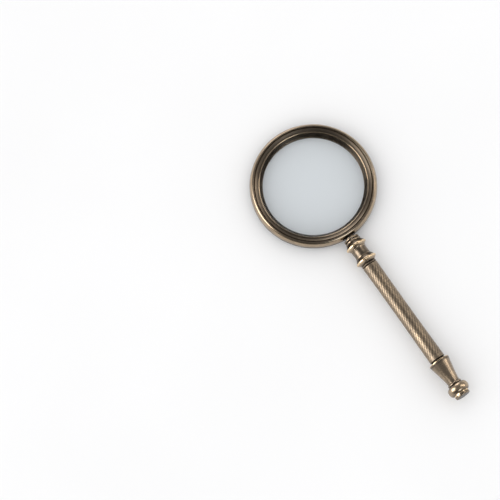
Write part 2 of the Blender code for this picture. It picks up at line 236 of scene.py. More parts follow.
def wear(points):
    """How exposed and how sunk each point of an outline is, from 0 to 1.

    The outline's turning angle at every point, outward corners positive, is spread along the
    outline by a bell curve of the distance, EDGE_REACH wide for edges and HOLLOW_REACH wide for
    hollows. The length along the outline comes with them."""
    solid = points[0, 0] == 0 and points[-1, 0] == 0
    coming = points - np.roll(points, 1, axis=0)
    going = np.roll(points, -1, axis=0) - points
    cross = coming[:, 0] * going[:, 1] - coming[:, 1] * going[:, 0]
    turning = np.arctan2(cross, np.sum(coming * going, axis=1))
    length = np.linalg.norm(going, axis=1)
    place = np.cumsum(length) - length
    apart = abs(place[:, None] - place[None, :])
    if solid:
        turning[[0, -1]] = 0.0
    else:
        apart = np.minimum(apart, length.sum() - apart)
    edge = np.exp(-((apart / EDGE_REACH) ** 2)) @ np.maximum(turning, 0.0)
    hollow = np.exp(-((apart / HOLLOW_REACH) ** 2)) @ np.maximum(-turning, 0.0)
    return place, np.clip(edge / FULL_TURNING, 0.0, 1.0), np.clip(hollow / FULL_TURNING, 0.0, 1.0)


# ------------------------------------------------------------------------------ surfaces

def on_lens_axis(radius, angle, height):
    """(radius cos a, radius sin a, height) from the middle of the rim, in metres."""
    local = np.stack((radius * np.cos(angle), radius * np.sin(angle), height), axis=-1)
    return CENTRE + local * MM


def on_handle_axis(radius, angle, distance):
    """(radius cos a, -distance, radius sin a) from the middle of the rim, in metres."""
    local = np.stack((radius * np.cos(angle), -distance, radius * np.sin(angle)), axis=-1)
    return CENTRE + local * MM


def plain(angle, radius, height):
    """No relief: no depth, no groove and no crest."""
    nothing = np.zeros_like(radius)
    return nothing, nothing, nothing


def thread(nominal, start, end, pitch, depth):
    """Right-hand screw thread on the side at the nominal radius: its depth is a triangle wave of
    height / pitch - turns, and it fades out over half a pitch at both ends."""
    def relief(angle, radius, height):
        wave = abs(2 * ((height / pitch - angle / TURN) % 1.0) - 1.0)
        fade = np.clip(np.minimum(height - start, end - height) / (0.5 * pitch), 0.0, 1.0)
        cut = fade * (abs(radius - nominal) < ON_THREAD)
        return -depth * wave * cut, wave * cut, (1.0 - wave) * cut

    return relief


def knurl(start, end):
    """Two crossed sets of V grooves, triangle waves of starts * turns - and + distance / pitch.
    They fade in over KNURL_FADE beside the plain bands."""
    def relief(angle, radius, height):
        turns = KNURL_STARTS * angle / TURN
        one = abs(2 * ((turns - height / KNURL_PITCH) % 1.0) - 1.0)
        other = abs(2 * ((turns + height / KNURL_PITCH) % 1.0) - 1.0)
        inside = np.minimum(height - start - KNURL_PLAIN_TOP, end - KNURL_PLAIN_FOOT - height)
        cut = np.clip(inside / KNURL_FADE, 0.0, 1.0) * (radius > SPIGOT_BORE + 0.5)
        deep = KNURL_DEPTH + CROSS_KNURL_DEPTH
        offset = -(KNURL_DEPTH * one + CROSS_KNURL_DEPTH * other) * cut
        groove = -offset / deep
        return offset, KNURL_DIRT * groove, KNURL_SHINE * (1.0 - groove) * cut

    return relief


def reeds(nominal, count, depth):
    """Lengthwise grooves round a ring: a triangle wave of count * turns, on its outside only."""
    def relief(angle, radius, height):
        wave = abs(2 * ((count * angle / TURN) % 1.0) - 1.0)
        cut = np.clip((radius - nominal) / 0.3 + 1.0, 0.0, 1.0)
        return -depth * wave * cut, wave * cut, (1.0 - wave) * cut

    return relief


def revolved(name, points, place, segments, relief=plain, joints=(), grime=None):
    """Surface of revolution: point j of the outline, with its relief, turned to segment i. Ends of
    the outline that lie on the axis become poles; any other outline closes on itself.

    Three values go with each vertex: the length along the outline in millimetres, how exposed it is,
    and how sunk it is together with painted shade. Grime gathers beside the joints, which are heights,
    and painted shade is added wherever the given function of radius and height says."""
    length, edge, hollow = wear(points)
    # Painted shade is added to the hollow value, so it darkens like patina.
    if grime is not None:
        hollow = np.maximum(hollow, grime(points[:, 0], points[:, 1]))
    for joint in joints:
        beside_joint = np.exp(-abs(points[:, 1] - joint) / JOINT_GRIME_REACH)
        hollow = np.maximum(hollow, JOINT_GRIME * beside_joint)
    solid = points[0, 0] == 0 and points[-1, 0] == 0
    inner = slice(1, -1) if solid else slice(None)
    columns = points[inner]
    angle = np.repeat(np.arange(segments) * TURN / segments, len(columns)).reshape(segments, -1)
    radius = np.tile(columns[:, 0], (segments, 1))
    height = np.tile(columns[:, 1], (segments, 1))
    offset, groove, crest = relief(angle, radius, height)
    vertices = place(radius + offset, angle, height).reshape(-1, 3)
    values = {
        "along": np.tile(length[inner], (segments, 1)),
        "edge": np.maximum(np.tile(edge[inner], (segments, 1)), crest),
        "hollow": np.maximum(np.tile(hollow[inner], (segments, 1)), groove),
    }
    values = {key: value.ravel() for key, value in values.items()}

    index = np.arange(segments * len(columns)).reshape(segments, -1)
    beside = np.roll(index, -1, axis=0)
    if solid:
        corners = (index[:, :-1], beside[:, :-1], beside[:, 1:], index[:, 1:])
    else:
        corners = (index, beside, np.roll(beside, -1, axis=1), np.roll(index, -1, axis=1))
    faces = np.stack(corners, axis=-1).reshape(-1, 4).tolist()
    if solid:
        poles = points[[0, -1]]
        zero = np.zeros(2)
        vertices = np.vstack((vertices, place(zero, zero, poles[:, 1])))
        first = np.full(segments, len(vertices) - 2)
        last = np.full(segments, len(vertices) - 1)
        faces += np.stack((first, beside[:, 0], index[:, 0]), axis=-1).tolist()
        faces += np.stack((last, index[:, -1], beside[:, -1]), axis=-1).tolist()
        for key, source in (("along", length), ("edge", edge), ("hollow", hollow)):
            values[key] = np.append(values[key], source[[0, -1]])

    mesh = bpy.data.meshes.new(name)
    mesh.from_pydata(vertices.tolist(), [], faces)
    for key, value in values.items():
        mesh.attributes.new(key, "FLOAT", "POINT").data.foreach_set("value", value)
    mesh.shade_smooth()
    piece = bpy.data.objects.new(name, mesh)
    bpy.context.collection.objects.link(piece)
    return piece


# ------------------------------------------------------------------------------ outline of each piece

def lens_front(radius):
    """Sphere of the lens's curvature, as a parabola, through its highest point."""
    return LENS_FRONT - radius**2 / (2 * LENS_CURVATURE)


def lens_back(radius):
    """The same parabola the other way up, through the lens's lowest point."""
    return LENS_BACK + radius**2 / (2 * LENS_CURVATURE)


def lens_outline():
    """Two polished faces and a ground edge with small bevels."""
    radius = np.linspace(0.0, LENS_RADIUS - LENS_BEVEL, 40)
    back = np.column_stack((radius, lens_back(radius)))
    front = np.column_stack((radius, lens_front(radius)))[::-1]
    low = (LENS_RADIUS, lens_back(LENS_RADIUS) + LENS_BEVEL)
    high = (LENS_RADIUS, lens_front(LENS_RADIUS) - LENS_BEVEL)
    return outline(back, low, high, front)


def packing_outline(node):
    """Flat ring with softly rounded corners."""
    bottom, top = above(node)
    outer = across(node)
    return eased(outline(
        (PACKING_INNER, bottom),
        (outer, bottom),
        (outer, top),
        (PACKING_INNER, top),
    ), 0.15)


def rim_outline():
    """Outer bead, front chamfer, threaded bore, lens seat, rear lip and the rear land."""
    seat = above("rear_packing_ring")[0] - GAP
    bead = arc(BEAD_CENTRE, 0.0, BEAD_WIDTH, RIM_TOP, -90, 90, 44)
    return outline(
        bead,
        eased(outline(
            bead[-1],
            (THREAD_BORE, RIM_TOP - GROOVE_DEPTH),
            (THREAD_BORE, SHOULDER),
            (SEAT_BORE, SHOULDER),
            (SEAT_BORE, seat),
            (APERTURE_RADIUS, seat),
            (APERTURE_RADIUS, RIM_BOTTOM + LIP_BEVEL_DEPTH),
            (APERTURE_RADIUS + LIP_BEVEL_WIDTH, RIM_BOTTOM),
            (2 * THREAD_BORE - BEAD_CENTRE, RIM_BOTTOM),
            (THREAD_BORE, RIM_BOTTOM + GROOVE_DEPTH),
            bead[0],
        ))[1:-1],
    )


def retainer_outline():
    """Threaded outside, dished face with two fine turned lines, ridge, bevel and inner skirt."""
    face_outer = RETAINER_RADIUS - RETAINER_CHAMFER
    ridge_r = face_outer - RETAINER_FACE_WIDTH - RIDGE_RADIUS
    ridge_h = RETAINER_TOP - RETAINER_DISH - 0.1
    skirt = lens_front(APERTURE_RADIUS) + GAP
    return outline(
        eased(outline(
            (APERTURE_RADIUS + SKIRT_WIDTH, RETAINER_BOTTOM),
            (RETAINER_RADIUS, RETAINER_BOTTOM),
            (RETAINER_RADIUS, RETAINER_TOP - RETAINER_CHAMFER),
            (face_outer, RETAINER_TOP),
        ), 0.08),
        retainer_face(face_outer, RETAINER_TOP, ridge_r + RIDGE_RADIUS, ridge_h),
        arc(ridge_r, ridge_h, RIDGE_RADIUS, RIDGE_RADIUS, 0, 180, 10),
        (APERTURE_RADIUS, skirt),
        (APERTURE_RADIUS + SKIRT_WIDTH, skirt),
    )


def retainer_face(outer, top, inner, bottom):
    """Straight fall from the outer edge to the foot of the ridge, with a V cut at each turned
    line: its depth falls off evenly with the distance from the line."""
    share = np.linspace(0.0, 1.0, 49)[1:-1]
    radius = outer + (inner - outer) * share
    cut = sum(np.maximum(1 - abs(share - line) / FACE_LINE_WIDTH, 0) for line in FACE_LINES)
    return np.column_stack((radius, top + (bottom - top) * share - FACE_LINE_DEPTH * cut))


def bead_outline(node, bore):
    """A washer or short ring with a half-round edge."""
    start, end = snug(node)
    half = (end - start) / 2
    edge = arc(across(node) - half, start + half, half, half, -90, 90, 18)
    return outline((bore, start), edge, (bore, end))


def collar_outline(node, front_radius, back_radius, rise):
    """A flange: a slightly swelling slope, an upright edge with rounded corners, and a steep slope
    behind it that is turned a little hollow."""
    start, end = snug(node)
    radius = across(node)
    front = along(node)[0] + rise
    back = front + COLLAR_BAND
    slope_top, fall_top = radius - 0.3, radius - 0.25
    hollowing = 0.14
    slope = side(start, front, lambda t: front_radius + (slope_top - front_radius) * t**0.85, 12)
    fall = side(
        back, end,
        lambda t: fall_top - (fall_top - back_radius) * t - hollowing * 4 * t * (1 - t), 12,
    )
    return eased(outline(
        (SPIGOT_BORE, start),
        slope,
        (radius, front + 0.25),
        (radius, back - 0.2),
        fall,
        (SPIGOT_BORE, end),
    ), 0.16)


def neck_outline():
    """Waisted barrel, a spigot at each end, and a blind tapped hole in each spigot."""
    top, foot = along("neck_barrel")
    start = along("upper_collar")[1] + GAP - SNUG
    end = along("lower_collar")[0] - GAP + SNUG
    radius = across("neck_barrel")
    rod_hole = along("tie_rod")[0] - GAP
    waisting = 0.3
    barrel = side(start, end, lambda t: radius - waisting * (1 - abs(2 * t - 1) ** 3), 24)
    return eased(outline(
        (0.0, STUD_HOLE_END),
        (STUD_BORE, STUD_HOLE_END),
        (STUD_BORE, top),
        (SPIGOT_RADIUS, top),
        (SPIGOT_RADIUS, start),
        barrel,
        (SPIGOT_RADIUS, end),
        (SPIGOT_RADIUS, foot),
        (ROD_BORE, foot),
        (ROD_BORE, rod_hole),
        (0.0, rod_hole),
    ))


def grip_outline():
    """Slightly waisted tube: a parabola through the radii at the top, the waist and the foot."""
    start, end = snug("grip_tube")
    top, waist, foot = 6.3, 6.15, across("grip_tube")
    middle = (top + foot) / 2
    tube = side(start, end, lambda t: top + (foot - top) * t - (middle - waist) * 4 * t * (1 - t), 290)
    return eased(outline((SPIGOT_BORE, start), tube, (SPIGOT_BORE, end)))


def waist_ring_outline():
    """A short sunk ring with a fine bead, on a spigot that reaches back into the grip tube."""
    start, end = along("waist_ring")[0], snug("waist_ring")[1]
    shown = along("grip_tube")[1] + GAP - SNUG
    bead = 0.35
    body = across("waist_ring") - bead
    return eased(outline(
        (ROD_BORE, start),
        (SPIGOT_RADIUS, start),
        (SPIGOT_RADIUS, shown),
        (body, shown),
        arc(body, (shown + end) / 2, bead, 1.2 * bead, -80, 80, 10),
        (body, end),
        (ROD_BORE, end),
    ))


def ferrule_outline():
    """Trumpet: a short upright lip with a turned line under it, then a hollow curve to the foot."""
    start, end = snug("ferrule")
    radius = across("ferrule")
    lip = start + 1.1
    foot = 4.95
    trumpet = side(lip + 0.35, end, lambda t: foot + (radius - 0.18 - foot) * (1 - t) ** 1.2, 44)
    return eased(outline(
        (ROD_BORE, start),
        (radius, start),
        (radius, lip),
        (radius - 0.22, lip + 0.12),
        trumpet,
        (ROD_BORE, end),
    ))


def pommel_outline():
    """A bun: it rounds out to its widest line half way along and in again, with a recess."""
    start, end = snug("pommel")
    radius = across("pommel")
    neck, foot = 6.2, 6.3
    widest = (start + end) / 2
    swell = arc(neck, widest, radius - neck, widest - start, -90, 0, 16)
    shoulder = arc(foot, widest, radius - foot, end - widest, 0, 90, 16)[1:]
    recess_radius = across("end_washer") + GAP
    recess = along("end_washer")[0] - GAP
    return eased(outline(
        (ROD_BORE, start),
        swell,
        shoulder,
        (recess_radius, end),
        (recess_radius, recess),
        (ROD_BORE, recess),
    ))


def end_cap_outline():
    """A button nut: a sleeve, an upright side, a rounded end with a shallow dimple and a blind
    tapped hole."""
    start, end = along("end_cap")
    shown = along("pommel")[1] + GAP - SNUG
    radius = across("end_cap")
    crown, spread, sleeve = 0.9, 1.4, 3.5
    flat = radius - spread
    return outline(
        (0.0, CAP_HOLE_END),
        eased(outline(
            (0.0, CAP_HOLE_END),
            (ROD_BORE, CAP_HOLE_END),
            (ROD_BORE, start),
            (sleeve, start),
            (sleeve, shown),
            (radius, shown),
            (radius, end - crown),
        ))[1:],
        arc(flat, end - crown, spread, crown, 8, 90, 14),
        (flat * 0.5, end - 0.02),
        (0.0, end - 0.05),
    )


def rod_outline(node):
    """A rod with chamfered ends."""
    start, end = along(node)
    radius = across(node)
    chamfer = 0.5
    return outline(
        (0.0, start),
        (radius - chamfer, start),
        (radius, start + chamfer),
        (radius, end - chamfer),
        (radius - chamfer, end),
        (0.0, end),
    )


def end_washer_outline():
    """Flat washer with lightly broken corners."""
    start, end = along("end_washer")
    radius = across("end_washer")
    return eased(outline((ROD_BORE, start), (radius, start), (radius, end), (ROD_BORE, end)), 0.1)


def boss_outline():
    """Heights are shares of the way from the bead to the top of the boss, and it is let into the
    bead a little. A fillet of braze spreads where it meets the bead, falling off as a bell curve
    of the height, and the top edge is broken."""
    radius = across("stud_boss")
    root = -0.12
    fillet, fillet_height = 0.7, 0.22
    share = np.linspace(root, 0.82, 24)
    wall = radius + fillet * np.exp(-((share - root) / fillet_height) ** 1.5)
    return outline(
        (STUD_BORE, root),
        np.column_stack((wall, share)),
        (radius - 0.05, 0.93),
        (radius - 0.3, 1.0),
        (STUD_BORE, 1.0),
    )


def on_bead(radius, angle, share):
    """Handle-axis place whose share 0 lies on the rim's bead: at the height radius sin a the bead
    reaches out to the root of (its reach squared - (radius cos a) squared)."""
    up = radius * np.sin(angle) / RIM_TOP
    reach = BEAD_CENTRE + BEAD_WIDTH * np.sqrt(1 - up**2)
    bottom = np.sqrt(reach**2 - (radius * np.cos(angle)) ** 2)
    top = along("stud_boss")[1]
    return on_handle_axis(radius, angle, bottom + (top - bottom) * share)


# ------------------------------------------------------------------------------ shader tools

def connect(tree, node, inputs):
    """Fills a node's inputs: each is given a value, or another node's output to link to."""
    for key, value in inputs.items():
        if isinstance(value, bpy.types.NodeSocket):
            tree.links.new(value, node.inputs[key])
        else:
            node.inputs[key].default_value = value
    return node


def add(tree, kind, inputs=None, **settings):
    """A new node with its settings and inputs."""
    made = tree.nodes.new(kind)
    for key, value in settings.items():
        setattr(made, key, value)
    return connect(tree, made, inputs or {})


def maths(tree, operation, first, second):
    return add(tree, "ShaderNodeMath", {0: first, 1: second}, operation=operation).outputs[0]


def plus(tree, first, second, factor=1.0):
    """first + second * factor"""
    made = add(tree, "ShaderNodeMath", {0: second, 1: factor, 2: first}, operation="MULTIPLY_ADD")
    return made.outputs[0]


def noise(tree, vector, scale, detail=2.0, roughness=0.5):
    inputs = {"Vector": vector, "Scale": scale, "Detail": detail, "Roughness": roughness}
    return add(tree, "ShaderNodeTexNoise", inputs).outputs[0]


def remapped(tree, value, low, high, to_low=0.0, to_high=1.0):
    """Straight line from (low, to_low) to (high, to_high), level beyond them."""
    inputs = {0: value, 1: low, 2: high, 3: to_low, 4: to_high}
    return add(tree, "ShaderNodeMapRange", inputs, clamp=True).outputs[0]


def ramp(tree, value, stops):
    """Colour ramp: stops are (place, colour)."""
    made = add(tree, "ShaderNodeValToRGB", {0: value})
    elements = made.color_ramp.elements
    elements[0].position, elements[0].color = stops[0][0], (*stops[0][1], 1.0)
    elements[1].position, elements[1].color = stops[-1][0], (*stops[-1][1], 1.0)
    for position, colour in stops[1:-1]:
        elements.new(position).color = (*colour, 1.0)
    return made.outputs[0]


def new_group(name, inputs, outputs):
    """A shader node group: float inputs with their defaults, and outputs by kind."""
    tree = bpy.data.node_groups.new(name, "ShaderNodeTree")
    for label, value in inputs.items():
        socket = tree.interface.new_socket(name=label, in_out="INPUT", socket_type="NodeSocketFloat")
        socket.default_value = value
    for label, kind in outputs.items():
        tree.interface.new_socket(name=label, in_out="OUTPUT", socket_type="NodeSocket" + kind)
    return tree, tree.nodes.new("NodeGroupInput"), tree.nodes.new("NodeGroupOutput")


def place_group(tree, group, inputs):
    return add(tree, "ShaderNodeGroup", inputs, node_tree=group)


def vertex_value(tree, name):
    return add(tree, "ShaderNodeAttribute", attribute_name=name).outputs["Fac"]


def object_place(tree):
    return add(tree, "ShaderNodeTexCoord").outputs["Object"]


def stretched_place(tree, scale):
    return add(tree, "ShaderNodeMapping", {"Vector": object_place(tree), "Scale": scale}).outputs[0]


def marks_noise(tree, place, scale, detail):
    """Noise of one number."""
    inputs = {"W": place, "Scale": scale, "Detail": detail}
    return add(tree, "ShaderNodeTexNoise", inputs, noise_dimensions="1D").outputs[0]


def bump(tree, height, strength, depth):
    """Normal of a surface whose height 1 stands `depth` metres above its height 0."""
    inputs = {"Height": height, "Strength": strength, "Distance": depth}
    return add(tree, "ShaderNodeBump", inputs).outputs[0]


def turning_marks_group():
    """Rings left by the lathe tool: noise of the length along the outline alone, fine marks over
    broad ones, fading in and out in patches."""
    tree, start, end = new_group(
        "turning_marks", {"Along": 0.0, "Lines": 4.0}, {"Height": "Float", "Streak": "Float"}
    )
    place = maths(tree, "MULTIPLY", start.outputs["Along"], start.outputs["Lines"])
    fine = marks_noise(tree, place, 1.0, 3.0)
    broad = marks_noise(tree, place, 0.23, 1.0)
    patches = remapped(tree, noise(tree, object_place(tree), 140.0), 0.35, 0.65, 0.35, 1.0)
    streak = plus(tree, maths(tree, "MULTIPLY", fine, 0.6), broad, 0.4)
    faded = maths(tree, "MULTIPLY", maths(tree, "SUBTRACT", streak, 0.5), patches)
    connect(tree, end, {"Streak": maths(tree, "ADD", faded, 0.5), "Height": faded})
    return tree


def tarnish_group():
    """Dark patina rubbed back to brass: edges and polished faces are bare, hollows stay dark, and so
    does the painted shade that comes in with them. The rub is a sum: Polish, plus 0.5 Edge, less 0.7
    Hollow, plus cloudy, mottled and speckled noise times Unevenness, plus half the Streak. Colour and
    roughness follow the rub."""
    tree, start, end = new_group(
        "tarnish",
        {"Polish": 0.5, "Edge": 0.0, "Hollow and shade": 0.0, "Streak": 0.5, "Unevenness": 1.0, "Dullness": 0.0},
        {"Color": "Color", "Roughness": "Float", "Height": "Float"},
    )
    spot = object_place(tree)
    clouds = maths(tree, "SUBTRACT", noise(tree, spot, 95.0, 3.0, 0.55), 0.5)
    mottle = maths(tree, "SUBTRACT", noise(tree, spot, 620.0, 3.0, 0.6), 0.5)
    specks = remapped(tree, noise(tree, spot, 2300.0, 1.0), 0.66, 0.74)
    rub = plus(tree, start.outputs["Polish"], start.outputs["Edge"], 0.5)
    rub = plus(tree, rub, start.outputs["Hollow and shade"], -0.7)
    blotches = plus(tree, maths(tree, "MULTIPLY", clouds, 0.5), mottle, 0.3)
    blotches = plus(tree, blotches, specks, -0.15)
    rub = plus(tree, rub, blotches, start.outputs["Unevenness"])
    rub = plus(tree, rub, maths(tree, "SUBTRACT", start.outputs["Streak"], 0.5), 0.5)
    colour = ramp(tree, rub, (
        (0.0, (0.034, 0.027, 0.021)),
        (0.30, (0.132, 0.106, 0.080)),
        (0.60, (0.290, 0.228, 0.166)),
        (0.95, (0.860, 0.650, 0.415)),
    ))
    dull = maths(tree, "ADD", remapped(tree, rub, 0.0, 0.9, 0.40, 0.15), start.outputs["Dullness"])
    connect(tree, end, {
        "Color": colour,
        "Roughness": plus(tree, dull, mottle, 0.12),
        "Height": plus(tree, mottle, specks, -0.3),
    })
    return tree


def smudge_group():
    """Faint wipe marks and breath on polished glass: roughness rises a little in soft patches,
    and much more on the ground edge."""
    tree, start, end = new_group("smudges", {"Edge": 0.0}, {"Roughness": "Float"})
    wiped = stretched_place(tree, (1.0, 4.0, 1.0))
    wipes = remapped(tree, noise(tree, wiped, 60.0, 3.0, 0.6), 0.52, 0.75, 0.0, 0.035)
    ground = remapped(tree, start.outputs["Edge"], 0.35, 0.6, 0.0, 0.4)
    connect(tree, end, {"Roughness": maths(tree, "MAXIMUM", wipes, ground)})
    return tree


MARKS = turning_marks_group()
TARNISH = tarnish_group()
SMUDGES = smudge_group()


# ------------------------------------------------------------------------------ materials

def shaded(name):
    material = bpy.data.materials.new(name)
    material.use_nodes = True
    tree = material.node_tree
    return material, tree, tree.nodes["Principled BSDF"]


def antique_brass(name, polish, lines=4.0, marks=1.0, unevenness=1.0, dullness=0.0):
    """Turned brass with rubbed patina: polish is how bare its faces are, lines how many tool
    marks there are in a millimetre, marks how strongly they show, unevenness how blotchy the
    patina is, and dullness what is added to its roughness."""
    material, tree, shader = shaded(name)
    edge = vertex_value(tree, "edge")
    # The hollow value holds patina in hollows and painted shade on the rim, bevel, collar fronts and end
    # cap.
    hollow = vertex_value(tree, "hollow")
    rings = place_group(tree, MARKS, {"Along": vertex_value(tree, "along"), "Lines": lines})
    patina = place_group(tree, TARNISH, {
        "Polish": polish, "Edge": edge, "Hollow and shade": hollow, "Streak": rings.outputs["Streak"],
        "Unevenness": unevenness, "Dullness": dullness,
    })
    height = maths(tree, "MULTIPLY", rings.outputs["Height"], marks)
    height = plus(tree, height, patina.outputs["Height"], 0.5)
    connect(tree, shader, {
        "Base Color": patina.outputs["Color"],
        "Roughness": patina.outputs["Roughness"],
        "Normal": bump(tree, height, 0.5, 0.00006),
        "Metallic": 1.0,
        "Coat Weight": 0.12,
        "Coat Roughness": 0.12,
    })
    return material


def rod_steel():
    """Bright drawn steel with faint turned marks, mottled grey, and grey oxide in the threads."""
    material, tree, shader = shaded("rod steel")
    rings = place_group(tree, MARKS, {"Along": vertex_value(tree, "along"), "Lines": 6.0})
    grey = noise(tree, object_place(tree), 700.0, 3.0)
    grey = plus(tree, grey, vertex_value(tree, "hollow"), -0.35)
    grey = plus(tree, grey, maths(tree, "SUBTRACT", rings.outputs["Streak"], 0.5), 0.4)
    connect(tree, shader, {
        "Base Color": ramp(tree, grey, ((0.15, (0.10, 0.095, 0.09)), (0.6, (0.52, 0.51, 0.49)))),
        "Roughness": remapped(tree, grey, 0.1, 0.7, 0.55, 0.26),
        "Normal": bump(tree, rings.outputs["Height"], 0.4, 0.00005),
        "Metallic": 1.0,
    })
    return material


def packing_fibre():
    """Dark pressed fibre, matt, with short pale fibres showing."""
    material, tree, shader = shaded("packing fibre")
    strands = noise(tree, stretched_place(tree, (1.0, 1.0, 4.0)), 1800.0, 4.0, 0.7)
    connect(tree, shader, {
        "Base Color": ramp(tree, strands, ((0.35, (0.012, 0.011, 0.010)), (0.75, (0.075, 0.066, 0.055)))),
        "Roughness": 0.85,
        "Normal": bump(tree, strands, 0.6, 0.00008),
    })
    return material


def lens_glass():
    """Clear optical glass, faintly blue-green. Shadow rays pass straight through it, tinted, so
    the table under the lens is lit."""
    material, tree, shader = shaded("lens glass")
    smudges = place_group(tree, SMUDGES, {"Edge": vertex_value(tree, "edge")})
    connect(tree, shader, {
        "Base Color": (0.905, 0.925, 0.935, 1.0),
        "Roughness": smudges.outputs["Roughness"],
        "Transmission Weight": 1.0,
        "IOR": 1.52,
    })
    clear = add(tree, "ShaderNodeBsdfTransparent", {"Color": (0.90, 0.915, 0.925, 1.0)})
    path = add(tree, "ShaderNodeLightPath")
    straight = maths(tree, "MAXIMUM", path.outputs["Is Shadow Ray"], path.outputs["Is Diffuse Ray"])
    mixed = add(tree, "ShaderNodeMixShader", {0: straight, 1: shader.outputs[0], 2: clear.outputs[0]})
    connect(tree, tree.nodes["Material Output"], {"Surface": mixed.outputs[0]})
    return material


def table_top():
    """Plain pale table with the faintest unevenness."""
    material, tree, shader = shaded("table top")
    clouds = noise(tree, object_place(tree), 6.0)
    connect(tree, shader, {
        "Base Color": ramp(tree, clouds, ((0.3, (0.89, 0.89, 0.89)), (0.7, (0.91, 0.91, 0.91)))),
        "Roughness": 0.7,
        "Specular IOR Level": 0.2,
    })
    return material


# ------------------------------------------------------------------------------ pieces

def finish_piece(node, piece, body, material):
    """Puts a turned piece in the place of its node in the frame."""
    piece.data.materials.append(material)
    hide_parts(node)
    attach(piece, body)


def head_piece(node, points, material, slot="antique_brass", body="head", step=0.4,
               fine_radius=None, **turning):
    """A piece on the lens axis."""
    points = spaced(points, step, fine_radius)
    piece = revolved(node + "_turned", points, on_lens_axis, 256, **turning)
    finish_piece(node, piece, body, material)


def handle_piece(node, points, material, slot="antique_brass", body="handle", step=0.3,
                 fine_radius=None, segments=128, **turning):
    """A piece on the handle axis."""
    points = spaced(points, step, fine_radius)
    piece = revolved(node + "_turned", points, on_handle_axis, segments, **turning)
    finish_piece(node, piece, body, material)


def fading(strength, depth, reach):
    """Painted shade that grows from nothing at depth 0 to its full strength at the depth `reach`."""
    return strength * np.clip(depth / reach, 0.0, 1.0)


def front_of(node, rise):
    """Painted shade on a collar's front slope, up to its upright edge."""
    edge = along(node)[0] + rise
    return lambda radius, height: fading(0.9, edge - 0.1 - height, 0.4)


def build_head():
    rim_brass = antique_brass("rim brass", 0.60, lines=3.0, marks=0.6, unevenness=0.5)
    ring_brass = antique_brass("retaining ring brass", 0.60, lines=5.0, unevenness=0.5)
    fibre = packing_fibre()
    head_piece("lens", lens_outline(), lens_glass(), slot="lens_glass", step=1.2)
    head_piece("rear_packing_ring", packing_outline("rear_packing_ring"), fibre, slot="packing")
    head_piece(
        "front_packing_ring", packing_outline("front_packing_ring"), fibre,
        slot="packing", body="front_packing",
    )
    head_piece(
        "lens_rim", rim_outline(), rim_brass, fine_radius=THREAD_BORE,
        relief=thread(THREAD_BORE, SHOULDER, RIM_TOP - GROOVE_DEPTH, RETAINER_PITCH, TAPPED_DEPTH),
        # painted shade on the lower side of the bead
        grime=lambda radius, height: fading(0.8, RIM_PAINTED_SHADE_TOP - height, 2.0),
    )
    head_piece(
        "retaining_ring", retainer_outline(), ring_brass, body="retainer", step=0.3,
        fine_radius=RETAINER_RADIUS,
        relief=thread(
            RETAINER_RADIUS, RETAINER_BOTTOM, RETAINER_TOP - RETAINER_CHAMFER,
            RETAINER_PITCH, RETAINER_THREAD_DEPTH,
        ),
        # painted shade on the inner bevel beside the lens
        grime=lambda radius, height: fading(0.65, BEVEL_PAINTED_SHADE_RADIUS - radius, 0.5),
    )


def build_stud():
    start, end = along("rim_stud")
    handle_piece(
        "rim_stud", rod_outline("rim_stud"), antique_brass("stud brass", 0.75, lines=6.0),
        slot="plain_brass", body="head", fine_radius=STUD_RADIUS, segments=64,
        relief=thread(STUD_RADIUS, start, end, STUD_PITCH, STUD_THREAD_DEPTH),
    )
    boss = revolved("stud_boss_turned", boss_outline(), on_bead, 96, joints=(1.0,))
    finish_piece("stud_boss", boss, "head", antique_brass("boss brass", 0.50))


